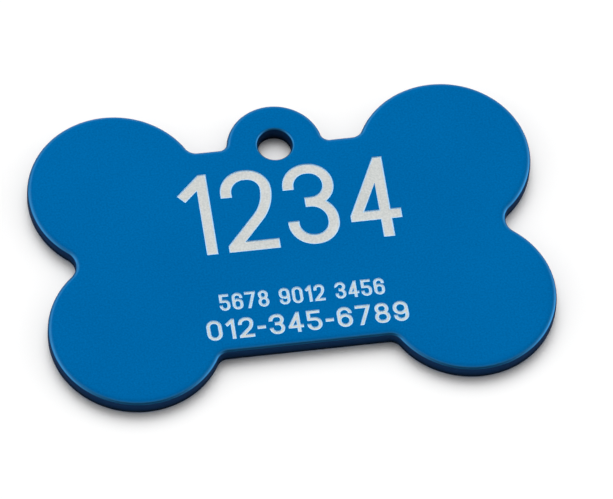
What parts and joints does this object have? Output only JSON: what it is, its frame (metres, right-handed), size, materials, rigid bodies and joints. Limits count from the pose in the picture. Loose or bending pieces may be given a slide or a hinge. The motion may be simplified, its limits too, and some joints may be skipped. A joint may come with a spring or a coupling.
{
  "type": "pet id tag",
  "caption": "Flat bone-shaped pet identity tag of blue anodised aluminium, with a round tab and a ring hole to hang it from a collar, and engraved plain numerals on its front face.",
  "frame": {"origin": "middle of the tag's outline on its rear face, which lies on the table", "axes": "+X along the bone to the right as the numerals read, +Y up the face to the tab with the ring hole, +Z out of the engraved face"},
  "size_m": [0.038, 0.025, 0.0013],
  "materials": {
    "engraved_aluminium": "bare metal, matt where it is engraved",
    "blue_anodised": "dyed anodised, satin"
  },
  "bodies": {
    "root": {"aluminium_blank": "engraved_aluminium", "anodised_coat": "blue_anodised"}
  },
  "joints": []
}
